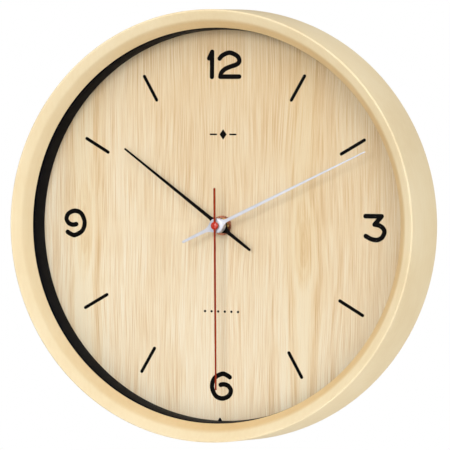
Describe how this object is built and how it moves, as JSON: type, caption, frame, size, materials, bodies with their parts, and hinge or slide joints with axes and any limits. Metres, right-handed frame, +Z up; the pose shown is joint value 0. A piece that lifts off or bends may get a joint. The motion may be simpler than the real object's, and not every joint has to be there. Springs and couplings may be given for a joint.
{
  "type": "wall clock",
  "caption": "Round analogue wall clock in a pale wooden case, with glass front, wood-grain dial, three hands, quartz movement with gear train, and keyhole hanger.",
  "frame": {"origin": "where the shank of the wall screw rests, at the top of the hanger's keyhole, on the hanger plate's rear face", "axes": "+Z up to the dial's 12, +X to the dial's 3, +Y back into the wall; the dial faces -Y"},
  "size_m": [0.2998, 0.0486, 0.2998],
  "materials": {
    "case_wood": "satin lacquer, pale cream",
    "clear_glass": "polished",
    "black_plastic": "satin black",
    "dial_wood": "pale vertical grain, matt varnish, black print",
    "fibreboard": "raw brown hardboard",
    "block_wood": "raw sawn wood",
    "steel": "plated steel",
    "zinc_screw": "zinc plated",
    "brass": "turned brass",
    "copper": "copper coloured",
    "rubber": "matt",
    "grey_plastic": "moulded, fine texture",
    "white_plastic": "acetal gear plastic",
    "natural_plastic": "unpigmented moulding",
    "red_plastic": "acetal gear plastic",
    "board_green": "solder mask",
    "hand_black": "satin black paint",
    "hand_silver": "silver-white paint",
    "hand_red": "red paint",
    "magnet": "sintered magnet",
    "battery_foil": "plain wrapped cell"
  },
  "bodies": {
    "clock": {"case_ring": "case_wood", "front_glass": "clear_glass", "spacer_ring": "black_plastic", "dial": "dial_wood", "back_plate": "fibreboard", "back_screw_1": "zinc_screw", "back_screw_2": "zinc_screw", "back_screw_3": "zinc_screw", "back_screw_4": "zinc_screw", "back_screw_5": "zinc_screw", "back_screw_6": "zinc_screw", "hanger_block": "block_wood", "hanger_plate": "steel", "hanger_screw_1": "steel", "hanger_screw_2": "steel", "movement_case": "grey_plastic", "movement_cover": "grey_plastic", "threaded_bushing": "brass", "rubber_washer": "rubber", "nut_washer": "copper", "fixing_nut": "brass", "battery": "battery_foil", "battery_spring": "steel", "contact_minus": "steel", "contact_plus": "steel", "circuit_board": "board_green", "ic_chip": "black_plastic", "quartz_crystal": "steel", "coil_bobbin": "natural_plastic", "coil_winding": "copper", "coil_core": "steel", "stator_plate": "steel"},
    "seconds": {"second_wheel": "white_plastic", "second_hand": "hand_red", "second_collet": "brass"},
    "rotor": {"rotor_magnet": "magnet", "rotor_pinion": "white_plastic"},
    "intermediate": {"intermediate_wheel": "white_plastic"},
    "third": {"third_wheel": "red_plastic"},
    "centre_ring": {"centre_wheel": "white_plastic"},
    "minutes": {"cannon_pinion": "brass", "clutch_spring": "brass", "minute_hand": "hand_silver"},
    "minute_works": {"minute_works_wheel": "red_plastic"},
    "hours": {"hour_wheel": "white_plastic", "hour_hand": "hand_black"},
    "setting": {"setting_knob": "white_plastic"}
  },
  "joints": [
    {"name": "second_hand_turn", "type": "hinge", "parent": "clock", "child": "seconds", "pos_m": [0, 0, -0.122], "axis": [0, 1, 0], "continuous": true},
    {"name": "rotor_turn", "type": "hinge", "parent": "clock", "child": "rotor", "pos_m": [0.01457, 0, -0.10963], "axis": [0, 1, 0], "continuous": true},
    {"name": "intermediate_turn", "type": "hinge", "parent": "clock", "child": "intermediate", "pos_m": [0.0063, 0, -0.11109], "axis": [0, 1, 0], "continuous": true},
    {"name": "third_turn", "type": "hinge", "parent": "clock", "child": "third", "pos_m": [-0.01184, 0, -0.11769], "axis": [0, 1, 0], "continuous": true},
    {"name": "centre_wheel_turn", "type": "hinge", "parent": "clock", "child": "centre_ring", "pos_m": [0, 0, -0.122], "axis": [0, 1, 0], "continuous": true},
    {"name": "minute_hand_turn", "type": "hinge", "parent": "clock", "child": "minutes", "pos_m": [0, 0, -0.122], "axis": [0, 1, 0], "continuous": true},
    {"name": "minute_works_turn", "type": "hinge", "parent": "clock", "child": "minute_works", "pos_m": [0.009, 0, -0.122], "axis": [0, 1, 0], "continuous": true},
    {"name": "hour_hand_turn", "type": "hinge", "parent": "clock", "child": "hours", "pos_m": [0, 0, -0.122], "axis": [0, 1, 0], "continuous": true},
    {"name": "setting_knob_turn", "type": "hinge", "parent": "clock", "child": "setting", "pos_m": [0.01637, 0, -0.12716], "axis": [0, 1, 0], "continuous": true}
  ],
  "couplings": [
    {"joint": "rotor_turn", "follows": "second_hand_turn", "ratio": 30},
    {"joint": "intermediate_turn", "follows": "second_hand_turn", "ratio": -6},
    {"joint": "third_turn", "follows": "second_hand_turn", "ratio": -0.13333},
    {"joint": "centre_wheel_turn", "follows": "second_hand_turn", "ratio": 0.016667},
    {"joint": "minute_works_turn", "follows": "minute_hand_turn", "ratio": -0.33333},
    {"joint": "hour_hand_turn", "follows": "minute_hand_turn", "ratio": 0.083333},
    {"joint": "setting_knob_turn", "follows": "minute_hand_turn", "ratio": 1}
  ]
}
